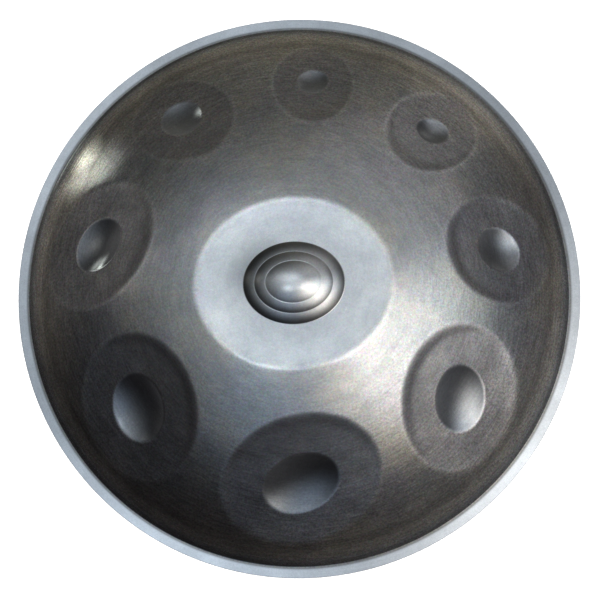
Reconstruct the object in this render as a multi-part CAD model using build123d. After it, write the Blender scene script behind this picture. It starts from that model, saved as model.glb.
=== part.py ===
"""Handpan: two steel shells bonded rim to rim, with nine tuned zones formed in the upper one.

Millimetres. +Z is up and the origin is the centre of the flat land that the instrument rests on.
-Y is the player's side, where the lowest outer note lies. Each shell is one formed sheet, so every
form in it (note field, dimple, centre boss) is a pair of surfaces one sheet apart.
"""

from build123d import *
from collections import namedtuple
from math import asin, cos, radians, sin, sqrt
import os

# Driving dimensions
RIM_RADIUS = 265.0  # outside of the rim flange
SHEET = 1.2  # thickness of the steel in both shells
GLUE_FILM = 0.3  # thickness of the adhesive at the flanges' edge
REST_TO_SEAM = 105.0  # from the resting land up to the middle of the seam
DOME_RADIUS = 346.0  # outside radius of both domes
DOME_RISE = 114.0  # from the seam to where a full dome's crown would be
FLANGE_SLOPE = 8.0  # each flange leans this far towards the seam at its edge
FLANGE_BEND = 2.5  # outside bend radius between dome and flange
EDGE_ROUND = 0.4  # worn outer corner of the upper flange
FILM_INSET = 0.8  # the adhesive stops this far inside the flanges' edge
BEAD_ANGLE = 30.0  # how far the squeezed-out bead climbs round each flange bend

# Outer note fields. bearing is from +X, and radius and dimple_radius are the plan radii of the field's
# and the dimple's middle. field and dimple are long and short half-axes, each followed by the turn of
# its long axis from the outward direction. depth is the dimple's depth below the field.
Note = namedtuple("Note", "bearing radius field field_turn dimple_radius dimple dimple_turn depth")
NOTES = (
    Note(-88.5, 179, (77.5, 65), -60, 183, (37.5, 29), -61, 5.6),
    Note(-143, 183, (70.5, 61), 50, 185.5, (33, 27.5), 51, 6.4),
    Note(-34, 183, (69.5, 59), -52, 185.5, (32.3, 25.3), -47, 5.0),
    Note(167, 189, (66, 53), 55, 191, (28, 22.5), 55, 4.2),
    Note(11, 192, (57, 49.5), -22, 193.5, (23.2, 20), -30, 4.3),
    Note(123.5, 193, (53.5, 45), 27, 195.5, (21.2, 19.5), 29, 3.5),
    Note(49.5, 195, (51, 41), -6, 197, (16.3, 14), -46, 3.3),
    Note(85.5, 196, (49, 37.5), 4, 198.5, (15.5, 14.3), -20, 3.4),
)

# Centre zone: a flattened ellipse, long along X, round a boss that rises in three tiers. The side of a
# tier steepens from top_slope at its flat to foot_slope at its foot.
CENTRE_FIELD = (91.5, 78.5)  # half-axes
CENTRE_TURN = 4.0  # turn of the long axis from +X
BOSS_TURN = 2.0
Tier = namedtuple("Tier", "half_axes top_slope foot_slope")
TIERS = (
    Tier((47.2, 38.5), 19.0, 38.0),
    Tier((36.3, 28.4), 20.0, 39.0),
    Tier((25.8, 19.2), 0.0, 32.5),
)
LEDGE = 1.4  # flat left on each tier outside the foot of the next, on the short axis

# Port and resting land of the lower shell
PORT_RADIUS = 50.0  # inside of the neck
NECK_BEND = 12.0  # outside bend radius where the land turns into the neck
NECK_STRAIGHT = 16.0
LAND_BEND = 25.0  # outside bend radius where the dome turns into the land

DOME_CENTRE = DOME_RISE - DOME_RADIUS  # height of the domes' centre from the seam
FLANGE_OUTWARD = Vector(cos(radians(FLANGE_SLOPE)), -sin(radians(FLANGE_SLOPE)))
FLANGE_NORMAL = Vector(sin(radians(FLANGE_SLOPE)), cos(radians(FLANGE_SLOPE)))
RIM_FACE = Vector(RIM_RADIUS, GLUE_FILM / 2 + SHEET * FLANGE_NORMAL.Y)  # edge of a flange's outside
RIM_BACK = RIM_FACE - FLANGE_NORMAL * SHEET  # edge of its face that takes the adhesive


def flange_bend_centre():
    """Centre, in section, of the bend that touches both the dome and the flange's outside."""
    start = RIM_FACE + FLANGE_NORMAL * FLANGE_BEND - Vector(0, DOME_CENTRE)
    along = start.dot(FLANGE_OUTWARD)
    inward = along - sqrt(along**2 - start.dot(start) + (DOME_RADIUS + FLANGE_BEND) ** 2)
    return RIM_FACE + FLANGE_NORMAL * FLANGE_BEND - FLANGE_OUTWARD * inward


BEND_CENTRE = flange_bend_centre()
BEND_FOOT = BEND_CENTRE - FLANGE_NORMAL * (FLANGE_BEND + SHEET)  # where the inside meets the flange
CUTTER_MARGIN = 1.25  # field cutters run past the edge of their field by this factor
CUTTER_HEIGHT = 40.0
CUTTER_LIMIT = BEND_FOOT.X - 8.0  # no field cutter goes further out than this plan radius
FOOT_DEPTH = 2 * SHEET  # how far each tier of the boss is carried down into what it stands on


def flange_bend_arc(bend):
    """Start, middle and end of the arc from dome to flange, concentric with the outside bend."""
    to_dome = (Vector(0, DOME_CENTRE) - BEND_CENTRE).normalized()
    to_flange = -FLANGE_NORMAL
    middle = (to_dome + to_flange).normalized()
    return [BEND_CENTRE + direction * bend for direction in (to_dome, middle, to_flange)]


def dome_arc_middle(radius, start_x, end_x):
    """Point on a dome of that radius half-way, by angle, between two plan radii."""
    angle = (asin(start_x / radius) + asin(end_x / radius)) / 2
    return Vector(radius * sin(angle), DOME_CENTRE + radius * cos(angle))


def dome_body(inset, foot):
    """Solid under the plain dome, inset from its outside.

    foot lists the points that lead from the end of the flange bend back to the axis.
    """
    radius = DOME_RADIUS - inset
    crown = Vector(0, DOME_CENTRE + radius)
    join, middle, end = flange_bend_arc(FLANGE_BEND + inset)
    with BuildPart() as body:
        with BuildSketch(Plane.XZ):
            with BuildLine():
                ThreePointArc(crown, dome_arc_middle(radius, 0, join.X), join)
                ThreePointArc(join, middle, end)
                Polyline(end, *foot, crown)
            make_face()
        revolve(axis=Axis.Z)
    return body.part


def field_cutter(plane, half_axes, inset):
    """Solid above the surface of a flattened field, and how far the field lies under the dome.

    The surface is straight across the short axis and gently curved along the long one, so that it
    meets the dome in an ellipse of the two half-axes. plane touches the dome, X along the long axis.
    """
    long_half, short_half = half_axes
    depth = short_half**2 / (2 * DOME_RADIUS)
    radius = DOME_RADIUS / (1 - (short_half / long_half) ** 2) - inset
    reach = long_half * CUTTER_MARGIN
    floor = -depth - inset
    low = floor - radius + sqrt(radius**2 - reach**2)
    with BuildPart() as cutter:
        with BuildSketch(plane * Plane.XZ):
            with BuildLine():
                ThreePointArc((-reach, low), (0, floor), (reach, low))
                Polyline((reach, low), (reach, CUTTER_HEIGHT), (-reach, CUTTER_HEIGHT), (-reach, low))
            make_face()
        extrude(amount=short_half * CUTTER_MARGIN, both=True)
    return cutter.part & Cylinder(CUTTER_LIMIT, 2 * DOME_RADIUS), depth


def dimple_tool(plane, half_axes, depth, inset):
    """Ellipsoid whose underside is a dimple's surface, sunk depth below plane."""
    long_half, short_half = half_axes
    middle = (short_half**2 - depth**2) / (2 * depth)
    ball_radius = middle + depth
    stretch = long_half / short_half
    ball = scale(Sphere(1), by=(ball_radius * stretch + inset, ball_radius + inset, ball_radius + inset))
    return plane.location * Pos(0, 0, middle) * ball


def touching_plane(bearing, radius, turn):
    """Plane that touches the dome, with X turned by turn from the outward, downhill direction."""
    tilt = asin(radius / DOME_RADIUS)
    angle = radians(bearing)
    outward = Vector(cos(angle) * cos(tilt), sin(angle) * cos(tilt), -sin(tilt))
    normal = Vector(cos(angle) * sin(tilt), sin(angle) * sin(tilt), cos(tilt))
    long_way = outward.rotate(Axis((0, 0, 0), normal), turn)
    return Plane(origin=normal * DOME_RADIUS + Vector(0, 0, DOME_CENTRE), x_dir=long_way, z_dir=normal)


def press_notes(body, inset):
    """Flattens the outer fields and presses their dimples into a dome body."""
    for note in NOTES:
        field_plane = touching_plane(note.bearing, note.radius, note.field_turn)
        dimple_plane = touching_plane(note.bearing, note.dimple_radius, note.dimple_turn)
        cutter, sunk = field_cutter(field_plane, note.field, inset)
        body = body - cutter - dimple_tool(dimple_plane.offset(-sunk), note.dimple, note.depth, inset)
    return body


def tier_side(tier, inner):
    """Radius, centre and rise of a tier's side, from its foot in to the edge of its flat."""
    short_half = tier.half_axes[1]
    top, foot = radians(tier.top_slope), radians(tier.foot_slope)
    bend = (short_half - inner) / (sin(foot) - sin(top))
    return bend, Vector(inner - bend * sin(top), -bend * cos(foot)), bend * (cos(top) - cos(foot))


def tier_body(tier, inner, base, inset):
    """One tier of the boss, with its side carried down to a foot hidden under base, and its rise."""
    long_half, short_half = tier.half_axes
    bend, centre, rise = tier_side(tier, inner)
    levels = (rise - inset, (rise - inset - FOOT_DEPTH) / 2, -FOOT_DEPTH)
    side = [(centre.X + sqrt((bend - inset) ** 2 - (z - centre.Y) ** 2), base + z) for z in levels]
    top, foot = side[0][1], side[-1][1]
    with BuildPart() as body:
        with BuildSketch(Plane.XZ):
            with BuildLine():
                ThreePointArc(*side)
                Polyline(side[0], (0, top), (0, foot), side[-1])
            make_face()
        revolve(axis=Axis.Z)
    return scale(body.part, by=(1 + (long_half - short_half) / side[-1][0], 1, 1)), rise


def raise_boss(body, inset):
    """Flattens the centre zone and raises the three tiers of the boss on it."""
    cutter, sunk = field_cutter(touching_plane(0, 0, CENTRE_TURN), CENTRE_FIELD, inset)
    body = body - cutter
    crown = touching_plane(0, 0, BOSS_TURN)
    base = -sunk
    next_feet = [tier.half_axes[1] for tier in TIERS[1:]] + [0]
    for tier, next_foot in zip(TIERS, next_feet):
        piece, rise = tier_body(tier, next_foot + LEDGE, base, inset)
        body = body + crown.location * piece
        base += rise
    return body


def make_top_shell():
    """Upper shell: flattened note fields with dimples, and the tiered boss at the centre."""
    outer = dome_body(0, [RIM_FACE, RIM_BACK, BEND_FOOT, (0, BEND_FOOT.Y)])
    level_circles = outer.edges().filter_by(GeomType.CIRCLE).filter_by(Plane.XY)
    outer = fillet(level_circles.sort_by(SortBy.RADIUS)[-1], EDGE_ROUND)
    inner = dome_body(SHEET, [(BEND_FOOT.X, -SHEET), (0, -SHEET)])
    return raise_boss(press_notes(outer, 0), 0) - raise_boss(press_notes(inner, SHEET), SHEET)


def make_bottom_shell():
    """Lower shell with its land and port, drawn port upward and then turned over."""
    join, bend_middle, bend_end = flange_bend_arc(FLANGE_BEND)
    land_bend_z = REST_TO_SEAM - LAND_BEND
    land_bend_x = sqrt((DOME_RADIUS - LAND_BEND) ** 2 - (land_bend_z - DOME_CENTRE) ** 2)
    to_dome = Vector(land_bend_x, land_bend_z - DOME_CENTRE).normalized()
    dome_end = Vector(land_bend_x, land_bend_z) + to_dome * LAND_BEND
    lip = Vector(PORT_RADIUS + NECK_BEND, REST_TO_SEAM)
    neck = Vector(PORT_RADIUS, REST_TO_SEAM - NECK_BEND)
    with BuildPart() as shell:
        with BuildSketch(Plane.XZ):
            with BuildLine():
                Line(RIM_FACE, bend_end)
                ThreePointArc(bend_end, bend_middle, join)
                ThreePointArc(join, dome_arc_middle(DOME_RADIUS, join.X, dome_end.X), dome_end)
                RadiusArc(dome_end, (land_bend_x, REST_TO_SEAM), -LAND_BEND)
                Line((land_bend_x, REST_TO_SEAM), lip)
                RadiusArc(lip, neck, -NECK_BEND)
                Line(neck, neck - Vector(0, NECK_STRAIGHT))
                offset(amount=SHEET, side=Side.LEFT)
            make_face()
        revolve(axis=Axis.Z)
    return Rot(180, 0, 0) * shell.part


def make_seam_adhesive():
    """Adhesive wedge between the flanges, with the bead that squeezed out into the chamber."""
    bend = FLANGE_BEND + SHEET
    edge = RIM_BACK - FLANGE_OUTWARD * FILM_INSET
    middle = BEND_CENTRE - FLANGE_NORMAL.rotate(Axis.Z, BEAD_ANGLE / -2) * bend
    top = BEND_CENTRE - FLANGE_NORMAL.rotate(Axis.Z, -BEAD_ANGLE) * bend
    with BuildPart() as ring:
        with BuildSketch(Plane.XZ):
            with BuildLine():
                Polyline((edge.X, 0), edge, BEND_FOOT)
                ThreePointArc(BEND_FOOT, middle, top)
                Line(top, (top.X, 0))
                mirror(about=Plane.XZ)
            make_face()
        revolve(axis=Axis.Z)
    return ring.part


def write_parts():
    os.makedirs("parts", exist_ok=True)
    seam = Pos(0, 0, REST_TO_SEAM)
    export_step(seam * make_top_shell(), "parts/top_shell.step")
    export_step(seam * make_bottom_shell(), "parts/bottom_shell.step")
    export_step(seam * make_seam_adhesive(), "parts/seam_adhesive.step")


write_parts()
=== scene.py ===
"""Looks of the handpan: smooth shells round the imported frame, satin nitrided steel, soft studio light.

Lengths are millimetres in the shape functions, and metres in the meshes, materials and studio. Heights
in the shape functions are measured from the seam, as in the part's source. Bearings are degrees from +X.
"""

import math
from collections import namedtuple

import bpy
import numpy as np
from mathutils import Matrix, Vector
from mathutils.geometry import delaunay_2d_cdt


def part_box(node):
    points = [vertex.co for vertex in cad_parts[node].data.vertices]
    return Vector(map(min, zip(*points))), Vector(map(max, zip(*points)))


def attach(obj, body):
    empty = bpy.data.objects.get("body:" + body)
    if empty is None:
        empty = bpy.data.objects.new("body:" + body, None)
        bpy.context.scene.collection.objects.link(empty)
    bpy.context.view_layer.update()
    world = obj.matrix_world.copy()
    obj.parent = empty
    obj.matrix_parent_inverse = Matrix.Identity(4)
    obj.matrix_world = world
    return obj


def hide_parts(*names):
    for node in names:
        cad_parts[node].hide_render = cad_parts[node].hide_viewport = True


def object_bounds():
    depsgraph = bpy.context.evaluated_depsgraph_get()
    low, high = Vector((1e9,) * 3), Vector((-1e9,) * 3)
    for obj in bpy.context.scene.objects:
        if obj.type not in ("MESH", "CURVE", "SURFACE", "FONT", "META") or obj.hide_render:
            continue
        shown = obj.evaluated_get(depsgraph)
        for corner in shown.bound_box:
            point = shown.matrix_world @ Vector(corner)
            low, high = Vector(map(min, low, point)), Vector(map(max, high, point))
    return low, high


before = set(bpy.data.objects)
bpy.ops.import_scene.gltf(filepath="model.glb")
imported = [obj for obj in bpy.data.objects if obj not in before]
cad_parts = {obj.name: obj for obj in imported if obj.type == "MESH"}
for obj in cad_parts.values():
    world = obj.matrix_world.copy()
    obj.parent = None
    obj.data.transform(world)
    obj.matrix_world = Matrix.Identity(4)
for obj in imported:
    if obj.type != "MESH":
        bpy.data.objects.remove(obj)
cad_box = [list(corner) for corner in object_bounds()]

MM = 0.001
SEAM_LOW, SEAM_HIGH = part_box("seam_adhesive")
SEAM_Z = (SEAM_LOW.z + SEAM_HIGH.z) / 2 / MM
RIM_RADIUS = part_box("bottom_shell")[1].x / MM
LAND_Z = SEAM_Z  # the lower shell reaches from the seam to the floor, which is at zero

# The shells, as in the part
SHEET = 1.2
GLUE_FILM = 0.3
DOME_RADIUS = 346.0
DOME_RISE = 114.0
FLANGE_SLOPE = math.radians(8.0)
FLANGE_BEND = 2.5
EDGE_ROUND = 0.4
PORT_RADIUS = 50.0
NECK_BEND = 12.0
NECK_STRAIGHT = 16.0
LAND_BEND = 25.0
DOME_CENTRE = np.array([0.0, 0.0, DOME_RISE - DOME_RADIUS])

# Field and dimple are half-axes, each followed by the turn of its long axis from the outward direction
Note = namedtuple("Note", "bearing radius field field_turn dimple_radius dimple dimple_turn depth")
NOTES = (
    Note(-88.5, 179, (77.5, 65), -60, 183, (37.5, 29), -61, 5.6),
    Note(-143, 183, (70.5, 61), 50, 185.5, (33, 27.5), 51, 6.4),
    Note(-34, 183, (69.5, 59), -52, 185.5, (32.3, 25.3), -47, 5.0),
    Note(167, 189, (66, 53), 55, 191, (28, 22.5), 55, 4.2),
    Note(11, 192, (57, 49.5), -22, 193.5, (23.2, 20), -30, 4.3),
    Note(123.5, 193, (53.5, 45), 27, 195.5, (21.2, 19.5), 29, 3.5),
    Note(49.5, 195, (51, 41), -6, 197, (16.3, 14), -46, 3.3),
    Note(85.5, 196, (49, 37.5), 4, 198.5, (15.5, 14.3), -20, 3.4),
)
CENTRE_FIELD = (91.5, 78.5)
CENTRE_TURN = 4.0
BOSS_TURN = 2.0
Tier = namedtuple("Tier", "half_axes top_slope foot_slope")
TIERS = (
    Tier((47.2, 38.5), 19.0, 38.0),
    Tier((36.3, 28.4), 20.0, 39.0),
    Tier((25.8, 19.2), 0.0, 32.5),
)
LEDGE = 1.4
LEDGE_SHOWN = 0.5  # the rest of each ledge is worn away into the side below it

# Patch of painted shade on the upper shell, a dark reflection painted on the left of the boss: plan
# position, half-axes and turn of the long axis
PATCH_MIDDLE = (-34, 14)
PATCH_HALF_AXES = (30, 24)
PATCH_TURN = 30

# How far each hammered field sinks below a plain flat, in the order of the notes
FIELD_SINKS = (0.4, 0.7, 0.85, 0.4, 0.7, 0.1, 1.1, 1.2)
SINK_OFFSET = -2.2  # middle of the sinking edge, from the sunk outline
SINK_SHIFT = 5.0  # how much further from the axis the sunk outline lies than the field's own
SINK_SOFT = 4.0  # scale of the smooth step at the sinking edge

# Half the width that each kind of edge is blended over
FIELD_SOFT = 2.4
CENTRE_SOFT = 3.0
DIMPLE_SOFT = 1.6
TIER_SOFT = 0.35

# Painted highlight along the upper shell's edges: how far from an edge its line lies, and half the
# line's width
FIELD_HIGHLIGHT_LINE = (0.6, 1.6)
CENTRE_HIGHLIGHT_LINE = (-1.0, 2.5)
DIMPLE_HIGHLIGHT_LINE = (0.0, 1.3)

# Widths over which the finish changes at an edge, and how far out the painted shade beside the boss
# reaches
DIMPLE_FADE = 2
FIELD_FADE = 6
CENTRE_FADE = 8
BESIDE_BOSS = 22


# ---------------------------------------------------------------- shape of the sheet


def tangent_frame(bearing, radius, turn):
    """Point of the dome, and the long, short and outward directions of a zone centred there."""
    tilt, angle, turn = math.asin(radius / DOME_RADIUS), math.radians(bearing), math.radians(turn)
    level = np.array([math.cos(angle), math.sin(angle), 0])
    upright = np.array([0, 0, 1])
    downhill = level * math.cos(tilt) - upright * math.sin(tilt)
    outward = level * math.sin(tilt) + upright * math.cos(tilt)
    across = np.cross(outward, downhill)
    long_way = downhill * math.cos(turn) + across * math.sin(turn)
    return DOME_CENTRE + outward * DOME_RADIUS, long_way, np.cross(outward, long_way), outward


def soft_negative(value, softness):
    """The value where it is below zero and nothing above, with the change between them rounded."""
    overlap = np.maximum(softness - np.abs(value), 0)
    return np.minimum(value, 0) - overlap**2 / (4 * softness)


def zone_coordinates(points, zone):
    """Distances of points from a zone's middle, along its long and short directions."""
    centre, long_way, short_way, _ = zone
    return (points - centre) @ long_way, (points - centre) @ short_way


def near_side(points, zone):
    """Whether each point is on the same side of the dome as a zone."""
    centre, _, _, outward = zone
    well_below = -DOME_RADIUS / 3
    return (points - centre) @ outward > well_below


def ellipse_reach(angles, half_axes, turn):
    """Distance from an ellipse's middle to its edge in each direction."""
    a, b = half_axes
    return a * b / np.hypot(b * np.cos(angles - turn), a * np.sin(angles - turn))


def beyond_edge(points, zone, half_axes):
    """Distance of each point outside a zone's edge, and less than zero inside it."""
    a, b = zone_coordinates(points, zone)
    beyond = np.hypot(a, b) - ellipse_reach(np.arctan2(b, a), half_axes, 0)
    return np.where(near_side(points, zone), beyond, DOME_RADIUS)


def field_sink(points, zone, half_axes, sink):
    """How far a hammered field is sunk below a plain flat at each point."""
    beyond = beyond_edge(points, zone, half_axes)
    return sink / 2 * (np.tanh((beyond - SINK_OFFSET) / SINK_SOFT) - 1)


def field_drop(points, zone, half_axes, softness):
    """How far a flattened field lies under the dome at each point."""
    a, b = zone_coordinates(points, zone)
    long_half, short_half = half_axes
    depth = short_half**2 / (2 * DOME_RADIUS)
    barrel = DOME_RADIUS / (1 - (short_half / long_half) ** 2)
    dome = np.sqrt(np.maximum(DOME_RADIUS**2 - a * a - b * b, 0)) - DOME_RADIUS
    flat = np.sqrt(np.maximum(barrel**2 - a * a, 0)) - barrel - depth
    drop = soft_negative(flat - dome, softness * short_half / DOME_RADIUS)
    return np.where(near_side(points, zone), drop, 0)


BEYOND_BOWL = 0.0001  # stands in where a point lies beyond the bowl's ball, and has no root


def dimple_drop(points, zone, half_axes, depth):
    """How far a dimple lies under its field at each point."""
    a, b = zone_coordinates(points, zone)
    long_half, short_half = half_axes
    middle = (short_half**2 - depth**2) / (2 * depth)
    ball = middle + depth
    shape = 1 - (a / (ball * long_half / short_half)) ** 2 - (b / ball) ** 2
    bowl = middle - ball * np.sqrt(np.maximum(shape, BEYOND_BOWL))
    drop = soft_negative(bowl, DIMPLE_SOFT * short_half / ball)
    return np.where(near_side(points, zone), drop, 0)


def tier_rise(points, tier, next_tier):
    """How far one tier of the boss stands over what it rests on."""
    a, b = zone_coordinates(points, BOSS_ZONE)
    angles, distance = np.arctan2(b, a), np.hypot(a, b)
    foot = ellipse_reach(angles, tier.half_axes, 0)
    flat = LEDGE_SHOWN * np.ones(len(points))
    flat_short = LEDGE
    if next_tier:
        flat = ellipse_reach(angles, next_tier.half_axes, 0) + LEDGE_SHOWN
        flat_short += next_tier.half_axes[1]
    width = tier.half_axes[1] - flat_short
    top, low = math.radians(tier.top_slope), math.radians(tier.foot_slope)
    bend = width / (math.sin(low) - math.sin(top))
    run = bend * math.sin(top) + width * (distance - flat) / (foot - flat)
    side = np.sqrt(np.maximum(bend**2 - run**2, 0)) - bend * math.cos(low)
    side = np.where(run < bend, side, bend - run - bend * math.cos(low))
    rise = bend * (math.cos(top) - math.cos(low))
    side = np.where(distance < flat, rise, side)
    return -soft_negative(-side, TIER_SOFT)


CENTRE_ZONE = tangent_frame(0, 0, CENTRE_TURN)
BOSS_ZONE = tangent_frame(0, 0, BOSS_TURN)
FIELD_ZONES = [tangent_frame(note.bearing, note.radius, note.field_turn) for note in NOTES]
SINK_ZONES = [tangent_frame(note.bearing, note.radius + SINK_SHIFT, note.field_turn) for note in NOTES]
DIMPLE_ZONES = [tangent_frame(note.bearing, note.dimple_radius, note.dimple_turn) for note in NOTES]


def dome_points(plan):
    """Points of the plain dome above plan positions, and the outward direction at each."""
    height = np.sqrt(DOME_RADIUS**2 - (plan**2).sum(1))
    outward = np.column_stack([plan, height]) / DOME_RADIUS
    return DOME_CENTRE + outward * DOME_RADIUS, outward


def skin_points(plan, inset):
    """Points of the upper shell's dome above plan positions, inset from its outside."""
    points, outward = dome_points(plan)
    move = field_drop(points, CENTRE_ZONE, CENTRE_FIELD, CENTRE_SOFT) - inset
    for note, field_zone, dimple_zone in zip(NOTES, FIELD_ZONES, DIMPLE_ZONES):
        move = move + field_drop(points, field_zone, note.field, FIELD_SOFT)
        move = move + dimple_drop(points, dimple_zone, note.dimple, note.depth)
    for note, sink_zone, sink in zip(NOTES, SINK_ZONES, FIELD_SINKS):
        move = move + field_sink(points, sink_zone, note.field, sink)
    for tier, next_tier in zip(TIERS, TIERS[1:] + (None,)):
        move = move + tier_rise(points, tier, next_tier)
    return points + outward * move[:, None]


def skin_normals(plan, inset):
    """Directions square to the skin, from its slopes over a short step each way."""
    step = 0.15
    along_x = skin_points(plan + [step, 0], inset) - skin_points(plan - [step, 0], inset)
    along_y = skin_points(plan + [0, step], inset) - skin_points(plan - [0, step], inset)
    normals = np.cross(along_x, along_y)
    return normals / np.linalg.norm(normals, axis=1)[:, None]


# ---------------------------------------------------------------- section through rim and port

OUTWARD = np.array([math.cos(FLANGE_SLOPE), -math.sin(FLANGE_SLOPE)])
UPWARD = np.array([math.sin(FLANGE_SLOPE), math.cos(FLANGE_SLOPE)])
RIM_FACE = np.array([RIM_RADIUS, GLUE_FILM / 2 + SHEET * UPWARD[1]])
RIM_BACK = np.append(RIM_FACE - UPWARD * SHEET, -UPWARD)  # with its normal
EDGE_CENTRE = RIM_FACE - (OUTWARD + UPWARD) * EDGE_ROUND
TO_FACE = math.atan2(UPWARD[1], UPWARD[0])

# A section is made of rows: a place and the normal there. This turns the normals to the other side.
TURN_NORMALS = np.array([1, 1, -1, -1])


def bend_centre():
    """Centre, in section, of the bend that touches both the dome and the flange's outside."""
    start = RIM_FACE + UPWARD * FLANGE_BEND - [0, DOME_CENTRE[2]]
    along = start @ OUTWARD
    inward = along - math.sqrt(along**2 - start @ start + (DOME_RADIUS + FLANGE_BEND) ** 2)
    return RIM_FACE + UPWARD * FLANGE_BEND - OUTWARD * inward


def arc(centre, radius, start, end, steps):
    """Rows of a section along an arc, with its angles in radians. The ends are included."""
    angles = np.linspace(start, end, steps + 1)
    normals = np.column_stack([np.cos(angles), np.sin(angles)])
    return np.column_stack([centre + normals * radius, normals])


BEND_CENTRE = bend_centre()
TO_DOME = math.atan2(DOME_CENTRE[2] - BEND_CENTRE[1], -BEND_CENTRE[0]) + 2 * math.pi
TO_FLANGE = math.atan2(-UPWARD[1], -UPWARD[0]) + 2 * math.pi
JOIN_RADIUS = BEND_CENTRE[0] + FLANGE_BEND * math.cos(TO_DOME)


def rim_section():
    """Section from the end of the outer skin, over the flange and back to the end of the inner skin."""
    outer_bend = arc(BEND_CENTRE, FLANGE_BEND, TO_DOME, TO_FLANGE, steps=8) * TURN_NORMALS
    edge = arc(EDGE_CENTRE, EDGE_ROUND, TO_FACE, TO_FACE - math.pi / 2, steps=5)
    flange = np.linspace(outer_bend[-1], edge[0], num=5)
    inner_bend = arc(BEND_CENTRE, FLANGE_BEND + SHEET, TO_FLANGE, TO_DOME, steps=6)
    back = np.linspace(RIM_BACK, inner_bend[0], num=4)
    return np.vstack([outer_bend[1:], flange[1:-1], edge, back, inner_bend[1:-1]])


# ---------------------------------------------------------------- meshes

# Points in each ring round the rim, a note and the centre, and how far apart the dome's own rings lie
RIM_STEPS = 360
NOTE_STEPS = 112
CENTRE_STEPS = 176
DOME_SPACING = 4.5

# Rings along each kind of edge, as distances outside it
FIELD_EDGE = (-14, -11.5, -9.3, -7.5, -6, -4.6, -3.4, -2.3, -1.2, -0.2, 0.8, 1.8, 3, 4.5, 6.4, 8.8)
DIMPLE_EDGE = (-6, -4, -2.7, -1.8, -1.1, -0.5, 0, 0.5, 1.1, 1.8, 2.8, 4.2)
TIER_EDGE = (-7, -5.5, -4.2, -3, -1.9, -1.2, -0.8, -0.4, 0, 0.4, 0.8)
CLEAR_OF_FIELD = 10.5  # the dome's own rings stay this far outside every field

# How many more rings lie inside a dimple and the boss, and round each one up to its field's edge
IN_DIMPLE, ROUND_DIMPLE = 5, 7
IN_BOSS, ROUND_BOSS = 9, 9


def ring(index, steps):
    """Directions of one ring's points. Every other ring is turned by half a step."""
    return (np.arange(steps) + index % 2 / 2) * 2 * math.pi / steps


def circle(index, steps, radius):
    """Plan positions of one ring round the axis."""
    angles = ring(index, steps)
    return np.column_stack([np.cos(angles), np.sin(angles)]) * radius


def plan_of(bearing, radius, flat):
    """Plan positions of points given in the tangent plane of a place on the dome."""
    centre, downhill, across, outward = tangent_frame(bearing, radius, 0)
    sag = DOME_RADIUS - np.sqrt(DOME_RADIUS**2 - (flat**2).sum(1))
    flat = np.outer(flat[:, 0], downhill) + np.outer(flat[:, 1], across) - np.outer(sag, outward)
    return (centre + flat)[:, :2]


class Edge:
    """An elliptical edge in a tangent plane, and rings of points that follow it."""

    def __init__(self, half_axes, turn, middle, steps):
        self.half_axes, self.turn, self.middle, self.steps = half_axes, turn, middle, steps

    def at(self, angles, offset):
        """Positions on the edge, or offset outside it, in each direction from its middle."""
        reach = ellipse_reach(angles, self.half_axes, math.radians(self.turn)) + offset
        return np.column_stack([self.middle + reach * np.cos(angles), reach * np.sin(angles)])

    def rings(self, offsets):
        return [self.at(ring(index, self.steps), offset) for index, offset in enumerate(offsets)]


def fill(edge, offset, count):
    """Rings that shrink evenly from an edge's innermost ring to its middle, and the middle itself."""
    middle = np.array([[edge.middle, 0.0]])
    rings = [middle]
    for index, share in enumerate(np.linspace(0, 1, count + 2)[1:-1]):
        rings.append(middle + (edge.at(ring(index, edge.steps), offset) - middle) * share)
    return rings


def bridge(inner, inner_offset, outer, outer_offset, count):
    """Rings that change evenly from just outside one edge to just inside the next."""
    rings = []
    for index, share in enumerate(np.linspace(0, 1, count + 2)[1:-1]):
        angles = ring(index, inner.steps)
        near, far = inner.at(angles, inner_offset), outer.at(angles, outer_offset)
        rings.append(near * (1 - share) + far * share)
    return rings


def note_plan(note):
    """Rings of plan positions that follow a note's dimple and the edge of its field."""
    further = math.asin(note.dimple_radius / DOME_RADIUS) - math.asin(note.radius / DOME_RADIUS)
    dimple = Edge(note.dimple, note.dimple_turn, DOME_RADIUS * further, NOTE_STEPS)
    field = Edge(note.field, note.field_turn, 0.0, NOTE_STEPS)
    rings = fill(dimple, DIMPLE_EDGE[0], IN_DIMPLE) + dimple.rings(DIMPLE_EDGE)
    rings += bridge(dimple, DIMPLE_EDGE[-1], field, FIELD_EDGE[0], ROUND_DIMPLE)
    rings += field.rings(FIELD_EDGE)
    return plan_of(note.bearing, note.radius, np.vstack(rings))


def centre_plan():
    """Rings of plan positions that follow the tiers of the boss and the edge of the centre field."""
    edges = [Edge(tier.half_axes, BOSS_TURN, 0.0, CENTRE_STEPS) for tier in reversed(TIERS)]
    rings = fill(edges[0], TIER_EDGE[0], IN_BOSS)
    for edge in edges:
        rings += edge.rings(TIER_EDGE)
    field = Edge(CENTRE_FIELD, CENTRE_TURN, 0.0, CENTRE_STEPS)
    rings += bridge(edges[-1], TIER_EDGE[-1], field, FIELD_EDGE[0], ROUND_BOSS)
    rings += field.rings(FIELD_EDGE)
    return plan_of(0, 0, np.vstack(rings))


def dome_plan():
    """Evenly spaced rings over the whole dome, up to where the flange's bend begins."""
    rings = []
    radii = np.arange(DOME_SPACING, JOIN_RADIUS - DOME_SPACING / 2, DOME_SPACING)
    for index, radius in enumerate(radii):
        rings.append(circle(index, int(2 * math.pi * radius / DOME_SPACING), radius))
    return np.vstack(rings)


def rim_circle(radius):
    """The ring that the sheet's skins and its revolved sections share."""
    return circle(0, RIM_STEPS, radius)


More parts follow.
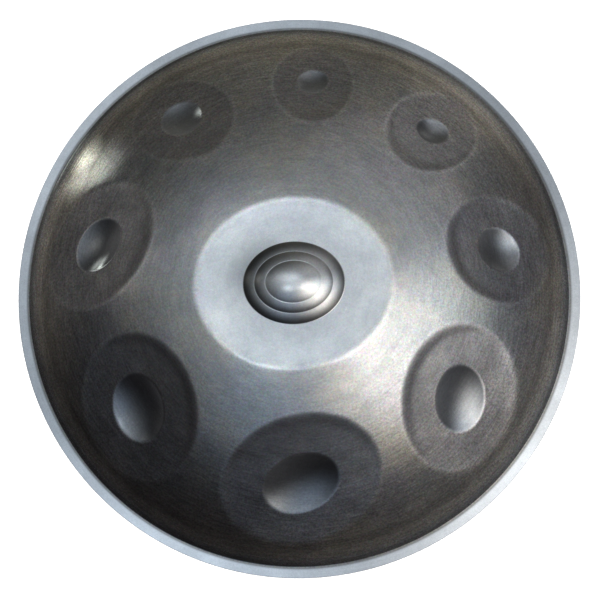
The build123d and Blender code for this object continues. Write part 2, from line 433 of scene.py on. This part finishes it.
def outside_zones(plan):
    """Keeps the plan positions that are clear of every field."""
    points, _ = dome_points(plan)
    clear = beyond_edge(points, CENTRE_ZONE, CENTRE_FIELD)
    for zone, note in zip(FIELD_ZONES, NOTES):
        clear = np.minimum(clear, beyond_edge(points, zone, note.field))
    return plan[clear > CLEAR_OF_FIELD]


def painted_shade_patch(plan):
    """How strongly the patch of painted shade lies on each point, from 0 to 1."""
    turn = math.radians(PATCH_TURN)
    long_way = np.array([math.cos(turn), math.sin(turn)])
    short_way = np.array([-long_way[1], long_way[0]])
    a = (plan - PATCH_MIDDLE) @ long_way / PATCH_HALF_AXES[0]
    b = (plan - PATCH_MIDDLE) @ short_way / PATCH_HALF_AXES[1]
    return np.exp(-a * a - b * b)


def highlight_line(beyond, edge_highlight):
    """How strongly an edge's painted highlight line lies on points that are a distance beyond the edge.
    """
    offset, width = edge_highlight
    return np.exp(-(((beyond - offset) / width) ** 2))


def skin_marks(plan):
    """Where each of the upper shell's marks lies, by name: finishes, painted highlights and painted
    shade. 1 is in full, and 0 is not at all.
    """
    points, _ = dome_points(plan)
    dimple, field = np.full(len(plan), DOME_RADIUS), np.full(len(plan), DOME_RADIUS)
    for note, field_zone, dimple_zone in zip(NOTES, FIELD_ZONES, DIMPLE_ZONES):
        dimple = np.minimum(dimple, beyond_edge(points, dimple_zone, note.dimple))
        field = np.minimum(field, beyond_edge(points, field_zone, note.field))
    centre = beyond_edge(points, CENTRE_ZONE, CENTRE_FIELD)
    boss = beyond_edge(points, BOSS_ZONE, TIERS[0].half_axes)
    edge_highlight = highlight_line(field, FIELD_HIGHLIGHT_LINE) + highlight_line(centre, CENTRE_HIGHLIGHT_LINE)
    edge_highlight += highlight_line(dimple, DIMPLE_HIGHLIGHT_LINE)
    return {
        "dimple": np.clip(0.5 - dimple / DIMPLE_FADE, 0, 1),
        "field": np.clip(0.5 - field / FIELD_FADE, 0, 1),
        "edge_highlight": edge_highlight,
        "centre": np.clip(-centre / CENTRE_FADE, 0, 1),
        "boss": np.clip(-boss / TIERS[0].half_axes[1], 0, 1),
        "beside_boss": np.exp(-((np.maximum(boss, 0) / BESIDE_BOSS) ** 2)) * (centre < 0),
        "painted_shade_patch": painted_shade_patch(plan),
    }


def triangulate(plan):
    """Triangles between plan positions, each as three indices."""
    corners = [Vector(place) for place in plan.tolist()]
    every_triangle, same_place = 0, 1e-7
    _, _, faces, originals, _, _ = delaunay_2d_cdt(corners, [], [], every_triangle, same_place)
    index = [original[0] for original in originals]
    return [tuple(index[corner] for corner in face) for face in faces]


def make_mesh(name, points, normals, faces):
    """Mesh object from points in millimetres above the seam, with its own smooth normals."""
    mesh = bpy.data.meshes.new(name)
    places = (np.asarray(points) + [0, 0, SEAM_Z]) * MM
    mesh.from_pydata(places.tolist(), [], faces)
    mesh.polygons.foreach_set("use_smooth", [True] * len(mesh.polygons))
    mesh.validate()
    mesh.normals_split_custom_set_from_vertices(np.asarray(normals).tolist())
    piece = bpy.data.objects.new(name, mesh)
    bpy.context.scene.collection.objects.link(piece)
    return piece


def lathe(section):
    """Rings of points, and of normals, from the rows of a section, one ring after another."""
    unit = rim_circle(1.0)
    halves = []
    for half in (section[:, :2], section[:, 2:]):
        rings = [np.column_stack([unit * x, np.full(RIM_STEPS, z)]) for x, z in half]
        halves.append(np.vstack(rings))
    return halves


def ring_faces(first, second, steps):
    """Quads between two rings, given the index of each ring's first point."""
    faces = []
    for here in range(steps):
        following = (here + 1) % steps
        faces.append((first + here, second + here, second + following, first + following))
    return faces


def build_top_shell():
    """The upper shell: outer skin, flange and inner skin, with the marks that its finish needs."""
    dome, join = dome_plan(), rim_circle(JOIN_RADIUS)
    fine = np.vstack([note_plan(note) for note in NOTES] + [centre_plan(), outside_zones(dome), join])
    coarse = np.vstack([dome, join])
    rim_points, rim_normals = lathe(rim_section())
    points = np.vstack([skin_points(fine, 0), rim_points, skin_points(coarse, SHEET)])
    normals = np.vstack([skin_normals(fine, 0), rim_normals, -skin_normals(coarse, SHEET)])
    first_inner = len(fine) + len(rim_points)
    faces = triangulate(fine)
    faces += [tuple(first_inner + corner for corner in reversed(face)) for face in triangulate(coarse)]
    starts = [*range(len(fine) - RIM_STEPS, first_inner, RIM_STEPS), len(points) - RIM_STEPS]
    for first, second in zip(starts, starts[1:]):
        faces += ring_faces(first, second, RIM_STEPS)
    piece = make_mesh("top_shell_sheet", points, normals, faces)
    unmarked = np.zeros(len(points) - len(fine))
    for name, values in skin_marks(fine).items():
        attribute = piece.data.attributes.new(name, "FLOAT", "POINT")
        attribute.data.foreach_set("value", np.append(values, unmarked))
    return piece


def bottom_section():
    """Closed section of the lower shell, drawn port upward: its outside, then back along its inside."""
    bend_z = LAND_Z - LAND_BEND
    bend_x = math.sqrt((DOME_RADIUS - LAND_BEND) ** 2 - (bend_z - DOME_CENTRE[2]) ** 2)
    lean = math.atan2(bend_z - DOME_CENTRE[2], bend_x)
    dome_start = math.atan2(BEND_CENTRE[1] - DOME_CENTRE[2], BEND_CENTRE[0])
    land_centre = np.array([bend_x, bend_z])
    neck_centre = np.array([PORT_RADIUS + NECK_BEND, LAND_Z - NECK_BEND])
    lip_centre = np.array([PORT_RADIUS + SHEET / 2, LAND_Z - NECK_BEND - NECK_STRAIGHT])
    sides, necks = [], []
    for inset in (0, SHEET):
        bend = arc(BEND_CENTRE, FLANGE_BEND + inset, TO_FLANGE, TO_DOME, steps=8) * TURN_NORMALS
        dome = arc(DOME_CENTRE[[0, 2]], DOME_RADIUS - inset, dome_start, lean, steps=70)
        land = arc(land_centre, LAND_BEND - inset, lean, math.pi / 2, steps=10)
        sides.append(np.vstack([bend, dome[1:], land[1:]]))
        necks.append(arc(neck_centre, NECK_BEND - inset, math.pi / 2, math.pi, steps=14))
    edge = arc(EDGE_CENTRE, EDGE_ROUND, TO_FACE - math.pi / 2, TO_FACE, steps=5)
    lip = arc(lip_centre, SHEET / 2, math.pi, 2 * math.pi, steps=8)
    inside = np.vstack([sides[1], necks[1]])[::-1] * TURN_NORMALS
    return np.vstack([edge, sides[0], necks[0][1:], lip, inside, RIM_BACK])


def build_bottom_shell():
    """The lower shell, revolved port upward and turned over."""
    points, normals = lathe(bottom_section())
    turned = np.array([1, -1, -1])
    starts = [*range(0, len(points), RIM_STEPS), 0]
    faces = []
    for first, second in zip(starts, starts[1:]):
        faces += [tuple(reversed(face)) for face in ring_faces(first, second, RIM_STEPS)]
    return make_mesh("bottom_shell_sheet", points * turned, normals * turned, faces)


# ---------------------------------------------------------------- node helpers


class Nodes:
    """Short way to add and link shader nodes in one tree."""

    def __init__(self, tree):
        self.tree = tree
        self.tree.nodes.clear()

    def add(self, kind, **settings):
        node = self.tree.nodes.new("ShaderNode" + kind)
        for key, value in settings.items():
            setattr(node, key, value)
        return node

    def feed(self, socket, value):
        """Links another node's output to a socket, or sets a constant on it."""
        if isinstance(value, bpy.types.NodeSocket):
            self.tree.links.new(value, socket)
        else:
            socket.default_value = value

    def math(self, operation, *values):
        node = self.add("Math", operation=operation)
        for socket, value in zip(node.inputs, values):
            self.feed(socket, value)
        return node.outputs[0]

    def vector(self, operation, *values, scale=None):
        node = self.add("VectorMath", operation=operation)
        for socket, value in zip(node.inputs, values):
            self.feed(socket, value)
        if scale is not None:
            self.feed(node.inputs["Scale"], scale)
        scalar = operation in ("DOT_PRODUCT", "LENGTH")
        return node.outputs["Value" if scalar else "Vector"]

    def noise(self, coordinates, scale, detail=2.0, roughness=0.5, output="Fac"):
        node = self.add("TexNoise")
        self.feed(node.inputs["Vector"], coordinates)
        node.inputs["Scale"].default_value = scale
        node.inputs["Detail"].default_value = detail
        node.inputs["Roughness"].default_value = roughness
        return node.outputs[output]

    def spread(self, value, low, high, to_low, to_high):
        """The value taken from the range low to high into another range, and held at its ends."""
        node = self.add("MapRange")
        self.feed(node.inputs["Value"], value)
        node.inputs["From Min"].default_value = low
        node.inputs["From Max"].default_value = high
        node.inputs["To Min"].default_value = to_low
        node.inputs["To Max"].default_value = to_high
        return node.outputs["Result"]

    def away(self, value, middle):
        """How far the value is from a middle, either way."""
        return self.math("ABSOLUTE", self.math("SUBTRACT", value, middle))

    def mix(self, factor, first, second):
        node = self.add("Mix", data_type="RGBA")
        self.feed(node.inputs["Factor"], factor)
        self.feed(node.inputs["A"], first)
        self.feed(node.inputs["B"], second)
        return node.outputs["Result"]

    def bump(self, height, distance, strength, normal=None):
        node = self.add("Bump")
        self.feed(node.inputs["Strength"], strength)
        node.inputs["Distance"].default_value = distance
        self.feed(node.inputs["Height"], height)
        if normal is not None:
            self.feed(node.inputs["Normal"], normal)
        return node.outputs["Normal"]

    def mark(self, name):
        """One of the upper shell's marks. It is 0 all over a mesh that hasn't got it."""
        return self.add("Attribute", attribute_name=name).outputs["Fac"]

    def surface(self, **sockets):
        """Principled shader with these sockets set or linked. Their names have _ for spaces."""
        shader = self.add("BsdfPrincipled")
        for name, value in sockets.items():
            self.feed(shader.inputs[name.replace("_", " ")], value)
        output = self.add("OutputMaterial")
        self.feed(output.inputs["Surface"], shader.outputs["BSDF"])


def new_material(name):
    material = bpy.data.materials.new(name)
    material.use_nodes = True
    return material, Nodes(material.node_tree)


def set_material(piece, material):
    piece.data.materials.clear()
    piece.data.materials.append(material)


# ---------------------------------------------------------------- materials

STEEL = (0.57, 0.58, 0.60, 1)
STEEL_BROWN = (0.62, 0.565, 0.49, 1)
STEEL_VIOLET = (0.575, 0.56, 0.61, 1)
STEEL_GREEN = (0.55, 0.585, 0.55, 1)
STEEL_BLUE = (0.55, 0.58, 0.63, 1)
# dark of the painted shade in the groove beside the flange
PAINTED_GROOVE_SHADE = (0.12, 0.12, 0.12, 1)
WHITE = (1, 1, 1, 1)

# Distances from the axis between which the steel changes on its way out to the rim
GETS_COARSER = (0.10, 0.21)
TURNS_BROWN = (0.21, 0.24)
TURNS_GREY = (0.246, 0.250)
FLANGE_STARTS = (0.2555, 0.2562)

# Shade of the steel where a mark is full
MARK_SHADES = {
    # painted shade in the hollows of the dimples, whose blue is their own tint
    "dimple": 0.8,
    "field": 0.88,
    # painted highlight along the edges of the fields, the centre and the dimples
    "edge_highlight": 1.25,
    "centre": 1.22,
    # painted shade round the boss's foot
    "beside_boss": 0.82,
    # the patch of painted shade on the left of the boss
    "painted_shade_patch": 0.55,
}
# Shade at places from the boss's foot, 0, to its middle, 1: painted shade just inside the foot, and a
# more polished cap
BOSS_SHADES = ((0, 0.58), (0.04, 0.33), (0.3, 0.60), (1, 0.66))

# Painted reflections near the rim, a darker ring and a lighter one: distance from the axis, where the
# ring has faded out, and shade
PAINTED_RIM_RINGS = ((0.2355, 0.005, 0.86), (0.2445, 0.006, 1.22))
RING_CORE = 0.001  # half the width over which a ring is full

# Painted shade in the groove beside the flange, wide then narrow: how far inside the bend's centre it
# lies, the distances from its middle line between which it fades, and how dark it is there
GROOVE_SHADE_BANDS = ((0.0014, 0.0020, 0.0042, 0.38), (0, 0.0006, 0.0018, 0.6))

HAMMER_HEIGHT = 0.0012
BRUSH_HEIGHT = 0.0002
NOISE_RANGE = (0.3, 0.7)  # nearly all of a noise's values lie between these

Patterns = namedtuple("Patterns", "strokes sweeps grain speckle clouds tint stain hammering")


def brushed_coordinates(nodes, position, radius, per_radian, per_metre):
    """Coordinates that run round the axis slowly and out from it fast, for brushing in circles."""
    flat = nodes.vector("MULTIPLY", position, (1, 1, 0))
    around = nodes.vector("SCALE", nodes.vector("NORMALIZE", flat), scale=per_radian)
    out = nodes.add("CombineXYZ")
    nodes.feed(out.inputs["Z"], nodes.math("MULTIPLY", radius, per_metre))
    return nodes.vector("ADD", around, out.outputs["Vector"])


def steel_patterns(nodes, position, radius):
    """Noise for each thing that varies over the steel."""
    strokes = brushed_coordinates(nodes, position, radius, per_radian=12, per_metre=700)
    sweeps = brushed_coordinates(nodes, position, radius, per_radian=4, per_metre=160)
    return Patterns(
        strokes=nodes.noise(strokes, scale=1.0, detail=3.0, roughness=0.6),
        sweeps=nodes.noise(sweeps, scale=1.0, detail=2.0, roughness=0.5),
        grain=nodes.noise(position, scale=520.0, detail=3.0, roughness=0.75),
        speckle=nodes.noise(position, scale=430.0, detail=2.0, roughness=0.7, output="Color"),
        clouds=nodes.noise(position, scale=14.0, detail=6.0, roughness=0.68),
        tint=nodes.noise(position, scale=24.0, detail=2.0, roughness=0.5),
        stain=nodes.noise(position, scale=31.0, detail=2.0, roughness=0.5),
        hammering=nodes.noise(position, scale=24.0, detail=1.0, roughness=0.4),
    )


def steel_colour(nodes, patterns, radius, on_flange, calm):
    """Grey steel with drifts of brown, violet and green, bluer in the dimples and on the flange."""
    layers = (
        (STEEL_BROWN, nodes.spread(patterns.clouds, 0.45, 0.65, 0, 0.7)),
        (STEEL_VIOLET, nodes.spread(patterns.tint, 0.50, 0.68, 0, 0.8)),
        (STEEL_GREEN, nodes.spread(patterns.stain, 0.54, 0.70, 0, 0.4)),
        (STEEL, nodes.math("MULTIPLY", nodes.mark("centre"), 0.7)),
        (STEEL_BROWN, nodes.spread(radius, *TURNS_BROWN, 0, 0.6)),
        (STEEL, nodes.spread(radius, *TURNS_GREY, 0, 0.9)),
        (STEEL_VIOLET, nodes.math("MULTIPLY", nodes.mark("field"), 0.5)),
        (STEEL_BLUE, nodes.math("MULTIPLY", nodes.mark("dimple"), 0.8)),
        (STEEL_BLUE, on_flange),
    )
    colour = STEEL
    for tone, amount in layers:
        colour = nodes.mix(amount, colour, tone)
    speckle = nodes.vector("MULTIPLY_ADD", patterns.speckle, (0.7, 0.7, 0.7), (0.65, 0.65, 0.65))
    speckled = nodes.vector("MULTIPLY", colour, speckle)
    return nodes.mix(nodes.spread(calm, 0, 1, 1, 0.15), colour, speckled)


def boss_shade(nodes):
    """Shade over the boss, as a share of the shade at its foot, so that the field keeps its own."""
    shade = nodes.add("FloatCurve")
    nodes.feed(shade.inputs["Value"], nodes.mark("boss"))
    foot, *between, middle = BOSS_SHADES
    curve = shade.mapping.curves[0]
    curve.points[0].location = foot
    curve.points[1].location = middle
    for place, value in between:
        curve.points.new(place, value)
    return nodes.math("DIVIDE", shade.outputs["Value"], foot[1])


def steel_shade(nodes, patterns, radius, calm):
    """Shade of the steel: grain and brushing, clouds, the marks, the painted rings near the rim and the
    boss.
    """
    coarseness = nodes.spread(radius, *GETS_COARSER, 0.7, 2.1)
    grain = nodes.math("MULTIPLY_ADD", nodes.math("SUBTRACT", patterns.grain, 0.5), coarseness, 1.0)
    scratch = nodes.math("MULTIPLY", nodes.math("SUBTRACT", patterns.strokes, 0.5), coarseness)
    shade = nodes.math("MULTIPLY", grain, nodes.math("MULTIPLY_ADD", scratch, 0.5, 1.0))
    shade = nodes.math("MULTIPLY", shade, nodes.spread(patterns.sweeps, *NOISE_RANGE, 0.93, 1.07))
    shade = nodes.mix(nodes.spread(calm, 0, 1, 0, 0.85), shade, WHITE)
    factors = [nodes.spread(patterns.clouds, *NOISE_RANGE, 0.8, 1.2)]
    factors += [nodes.spread(nodes.mark(name), 0, 1, 1, full) for name, full in MARK_SHADES.items()]
    # painted reflections near the rim, as rings of lighter and darker shade
    for middle, faded, full in PAINTED_RIM_RINGS:
        factors.append(nodes.spread(nodes.away(radius, middle), RING_CORE, faded, full, 1))
    for factor in [*factors, boss_shade(nodes)]:
        shade = nodes.math("MULTIPLY", shade, factor)
    return shade


def steel_relief(nodes, patterns, calm):
    """Bumps of the hammering, the brushing and the grain."""
    uneven = nodes.math("MULTIPLY_ADD", nodes.mark("field"), 0.6, 0.4)
    uneven = nodes.math("MULTIPLY", uneven, nodes.spread(calm, 0, 1, 1, 0.15))
    normal = nodes.bump(patterns.hammering, HAMMER_HEIGHT, uneven)
    normal = nodes.bump(patterns.strokes, BRUSH_HEIGHT, nodes.spread(calm, 0, 1, 0.08, 0.03), normal)
    return nodes.bump(patterns.grain, BRUSH_HEIGHT, nodes.spread(calm, 0, 1, 0.07, 0.02), normal)


def make_steel(name, groove_radius):
    """Nitrided steel, brushed in circles. Calm places have less grain, speckle and unevenness."""
    material, nodes = new_material(name)
    position = nodes.add("TexCoord").outputs["Object"]
    radius = nodes.vector("LENGTH", nodes.vector("MULTIPLY", position, (1, 1, 0)))
    patterns = steel_patterns(nodes, position, radius)
    on_flange = nodes.spread(radius, *FLANGE_STARTS, 0, 1)
    calm = nodes.math("MULTIPLY_ADD", nodes.mark("centre"), 0.6, on_flange)
    calm = nodes.math("MULTIPLY_ADD", nodes.mark("dimple"), 0.7, calm)
    colour = steel_colour(nodes, patterns, radius, on_flange, calm)
    colour = nodes.vector("SCALE", colour, scale=steel_shade(nodes, patterns, radius, calm))
    # painted shade in the groove beside the flange, in two bands
    for inward, core, faded, darkness in GROOVE_SHADE_BANDS:
        beside = nodes.away(radius, groove_radius - inward)
        colour = nodes.mix(nodes.spread(beside, core, faded, darkness, 0), colour, PAINTED_GROOVE_SHADE)
    tangent = nodes.add("Tangent", direction_type="RADIAL", axis="Z")
    rough = nodes.spread(patterns.strokes, *NOISE_RANGE, 0.08, 0.13)
    rough = nodes.math("ADD", rough, nodes.spread(patterns.clouds, *NOISE_RANGE, 0, 0.03))
    nodes.surface(
        Base_Color=colour,
        Metallic=1.0,
        Roughness=rough,
        Anisotropic=0.3,
        Anisotropic_Rotation=0.25,
        Normal=steel_relief(nodes, patterns, calm),
        Tangent=tangent.outputs["Tangent"],
    )
    return material


def make_adhesive():
    """Cured black adhesive, slightly lumpy."""
    material, nodes = new_material("cured_adhesive")
    lumps = nodes.noise(nodes.add("TexCoord").outputs["Object"], scale=300.0, detail=3.0)
    nodes.surface(
        Base_Color=nodes.mix(lumps, (0.02, 0.02, 0.02, 1), (0.06, 0.06, 0.065, 1)),
        Roughness=nodes.spread(lumps, *NOISE_RANGE, 0.45, 0.65),
        Normal=nodes.bump(lumps, distance=0.0006, strength=0.5),
    )
    return material


def make_paper():
    """Matt white paper, faintly mottled, with a little light of its own."""
    material, nodes = new_material("pale_paper")
    mottle = nodes.noise(nodes.add("TexCoord").outputs["Object"], scale=3.0)
    nodes.surface(
        Base_Color=nodes.mix(mottle, (0.86, 0.86, 0.86, 1), (0.88, 0.88, 0.88, 1)),
        Roughness=0.9,
        Specular_IOR_Level=0.1,
        Emission_Color=WHITE,
        Emission_Strength=0.5,
    )
    return material


# ---------------------------------------------------------------- studio

BLUE = (0.78, 1.00, 1.28)
COOL = (0.92, 1.01, 1.06)
NEUTRAL = (1.00, 1.00, 1.00)
WARM = (1.04, 1.00, 0.92)
YELLOW = (1.03, 1.00, 0.82)
PALE = (0.97, 1.01, 0.89)

# Soft lights all round, as bright as they look in the steel. Tilt is from straight up, and tilt,
# bearing and spread are in degrees.
Glow = namedtuple("Glow", "tilt bearing spread strength tint")
GLOWS = (
    Glow(16, 146, 23, 0.32, COOL),  # big ceiling light, which fills the flat centre
    Glow(15, -132, 6, 0.41, COOL),
    Glow(16, 103, 10, 0.22, COOL),
    Glow(20, -14, 8.5, 0.46, WARM),
    Glow(15, -42, 5.5, 0.18, WARM),
    Glow(28, 138, 9, 0.11, NEUTRAL),
    Glow(37, -36, 14, 0.83, WARM),  # main light, at the front and right
    Glow(44, 2, 12.5, 0.38, COOL),
    Glow(50, 51, 18, 0.17, NEUTRAL),
    Glow(59, 163, 7, 0.115, WARM),
    Glow(70, 160, 6, 0.022, YELLOW),
    Glow(72, 54, 6, 0.026, YELLOW),
    Glow(34, -106, 13.5, 0.115, BLUE),
    Glow(50, -84, 11, 0.02, NEUTRAL),
    Glow(84, -72, 16, 0.016, WARM),
    Glow(97, 143, 1.7, 1.70, PALE),  # small lamp, low down at the back and left
    Glow(95, 148, 2.2, 0.55, PALE),
    Glow(88, 144, 3.6, 0.50, PALE),
    Glow(97, 94, 29, 0.064, YELLOW),
    Glow(0, 0, 12, 0.06, BLUE),
    Glow(97, -19, 29, 0.085, NEUTRAL),
    Glow(97, 53, 10, 0.09, WARM),
    Glow(97, 162, 14, 0.055, WARM),
    Glow(180, 0, 26, 0.55, NEUTRAL),  # pale floor, seen only in the underside
)
STEEL_REFLECTS = 0.58  # share of the light that the steel sends back
DARK_ROOM = (0.0075, 0.007, 0.0075)  # what the steel reflects where no light is


def direction(tilt, bearing):
    """Direction with a length of 1 from a tilt and a bearing in degrees."""
    tilt, bearing = math.radians(tilt), math.radians(bearing)
    return (math.sin(tilt) * math.cos(bearing), math.sin(tilt) * math.sin(bearing), math.cos(tilt))


def build_world():
    """Adds up the soft lights. Each one falls off smoothly with the angle from its middle."""
    world = bpy.data.worlds.new("studio")
    bpy.context.scene.world = world
    world.use_nodes = True
    nodes = Nodes(world.node_tree)
    towards = nodes.add("TexCoord").outputs["Generated"]
    total = DARK_ROOM
    for glow in GLOWS:
        sharp = 1 / math.radians(glow.spread) ** 2
        nearness = nodes.vector("DOT_PRODUCT", towards, direction(glow.tilt, glow.bearing))
        falloff = nodes.math("EXPONENT", nodes.math("MULTIPLY_ADD", nearness, sharp, -sharp))
        colour = [glow.strength * part for part in glow.tint]
        total = nodes.vector("ADD", total, nodes.vector("SCALE", colour, scale=falloff))
    background = nodes.add("Background")
    nodes.feed(background.inputs["Color"], total)
    background.inputs["Strength"].default_value = 1 / STEEL_REFLECTS
    output = nodes.add("OutputWorld")
    nodes.feed(output.inputs["Surface"], background.outputs["Background"])


# Pale paper on the floor, swept up into a wall on every side, in metres
FLOOR_RINGS = (0.02, 0.6, 2.0, 5.0)
WALL_BEND = 3.0
WALL_BEND_STEPS = 12
WALL_TOP = 9.0
STAGE_STEPS = 96
PAPER_GAP = 0.0002  # how far under the object the paper lies


def build_stage(paper):
    """Lays the paper. The steel reflects the soft lights and not the paper."""
    section = [(radius, 0) for radius in FLOOR_RINGS]
    for step in range(1, WALL_BEND_STEPS + 1):
        angle = step / WALL_BEND_STEPS * math.pi / 2
        out, height = WALL_BEND * math.sin(angle), WALL_BEND * (1 - math.cos(angle))
        section.append((FLOOR_RINGS[-1] + out, height))
    section.append((FLOOR_RINGS[-1] + WALL_BEND, WALL_TOP))
    points = [(0, 0, 0)]
    for radius, height in section:
        points += [(x, y, height) for x, y in circle(0, STAGE_STEPS, radius).tolist()]
    faces = [(0, 1 + step, 1 + (step + 1) % STAGE_STEPS) for step in range(STAGE_STEPS)]
    starts = range(1, len(points), STAGE_STEPS)
    for first, second in zip(starts, starts[1:]):
        faces += ring_faces(first, second, STAGE_STEPS)
    mesh = bpy.data.meshes.new("paper_sweep")
    mesh.from_pydata(points, [], faces)
    mesh.polygons.foreach_set("use_smooth", [True] * len(mesh.polygons))
    floor = bpy.data.objects.new("paper_sweep", mesh)
    bpy.context.scene.collection.objects.link(floor)
    floor.location.z = cad_box[0][2] - PAPER_GAP
    set_material(floor, paper)
    floor.visible_glossy = False
    floor.visible_diffuse = False


PAPER_LIGHT_STRENGTH = 5.0
PAPER_LIGHT_WIDTH = 120.0


def build_floor_light():
    """Wide soft light for the paper, which the steel doesn't reflect."""
    sun = bpy.data.lights.new("paper_light", "SUN")
    sun.energy = PAPER_LIGHT_STRENGTH
    sun.angle = math.radians(PAPER_LIGHT_WIDTH)
    lamp = bpy.data.objects.new("paper_light", sun)
    bpy.context.scene.collection.objects.link(lamp)
    lamp.visible_glossy = False


# Camera, nearly overhead: lean from straight down, distance in metres, plan direction that it leans
# in, the point that it looks at as measured from the middle of the seam, and its lens in millimetres
CAMERA_LEAN = math.radians(7.0)
CAMERA_DISTANCE = 2.9
TOWARDS_PLAYER = Vector((0.32, -0.947, 0))
LOOKS_AT = Vector((0.0014, -0.0036, 0))
LENS, SENSOR_WIDTH = 184.6, 36
SEES_TO = 50


def build_camera():
    """Leans a little towards the player, as a long lens from about three metres."""
    seam = Vector((0, 0, SEAM_Z * MM))
    sideways = TOWARDS_PLAYER * CAMERA_DISTANCE * math.sin(CAMERA_LEAN)
    place = seam + sideways + Vector((0, 0, CAMERA_DISTANCE * math.cos(CAMERA_LEAN)))
    data = bpy.data.cameras.new("camera")
    data.sensor_width = SENSOR_WIDTH
    data.lens = LENS
    data.clip_end = SEES_TO
    camera = bpy.data.objects.new("camera", data)
    bpy.context.scene.collection.objects.link(camera)
    camera.location = place
    back = (place - (seam + LOOKS_AT)).normalized()
    right = Vector((0, 1, 0)).cross(back).normalized()
    camera.rotation_euler = Matrix((right, back.cross(right), back)).transposed().to_euler()
    bpy.context.scene.camera = camera


def main():
    """Replaces both shells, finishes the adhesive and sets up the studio."""
    steel = make_steel("nitrided_steel", BEND_CENTRE[0] * MM)
    top = build_top_shell()
    set_material(top, steel)
    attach(top, "root")
    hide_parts("top_shell")
    bottom = build_bottom_shell()
    set_material(bottom, steel)
    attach(bottom, "root")
    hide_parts("bottom_shell")
    set_material(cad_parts["seam_adhesive"], make_adhesive())
    build_world()
    build_stage(make_paper())
    build_floor_light()
    build_camera()
    bpy.context.scene.view_settings.view_transform = "Standard"


main()
